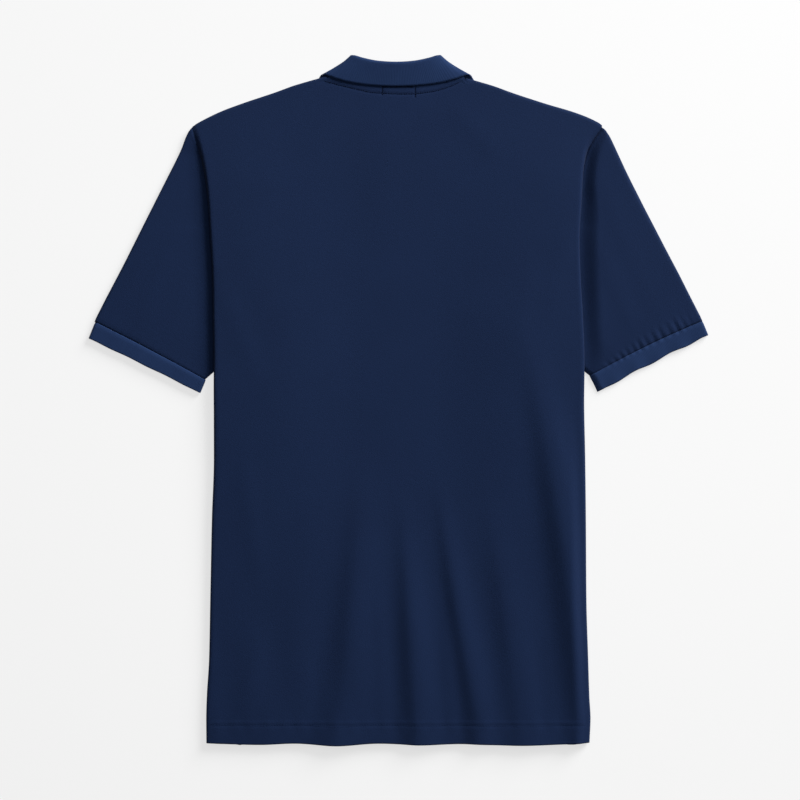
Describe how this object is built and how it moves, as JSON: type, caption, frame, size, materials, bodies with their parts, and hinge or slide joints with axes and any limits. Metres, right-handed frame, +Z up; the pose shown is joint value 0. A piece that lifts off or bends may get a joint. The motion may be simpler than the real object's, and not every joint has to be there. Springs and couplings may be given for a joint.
{
  "type": "polo shirt",
  "caption": "Short-sleeved polo shirt with rib collar and cuffs, laid flat face down, back upwards, sides turned under.",
  "frame": {"origin": "on the table, under the middle of the shirt's outline", "axes": "+Z up from the table through the back panel, +Y from the hem towards the collar, +X across the shoulders, towards the wearer's right sleeve"},
  "size_m": [0.6773, 0.7522, 0.0189],
  "materials": {
    "pique": "matte",
    "rib": "matte",
    "button": "satin"
  },
  "bodies": {
    "root": {"back": "pique", "front": "pique", "sleeve_left": "pique", "sleeve_right": "pique", "cuff_left": "rib", "cuff_right": "rib", "collar": "rib", "placket_upper": "pique", "placket_under": "pique", "button_1": "button", "button_2": "button", "button_3": "button"}
  },
  "joints": []
}
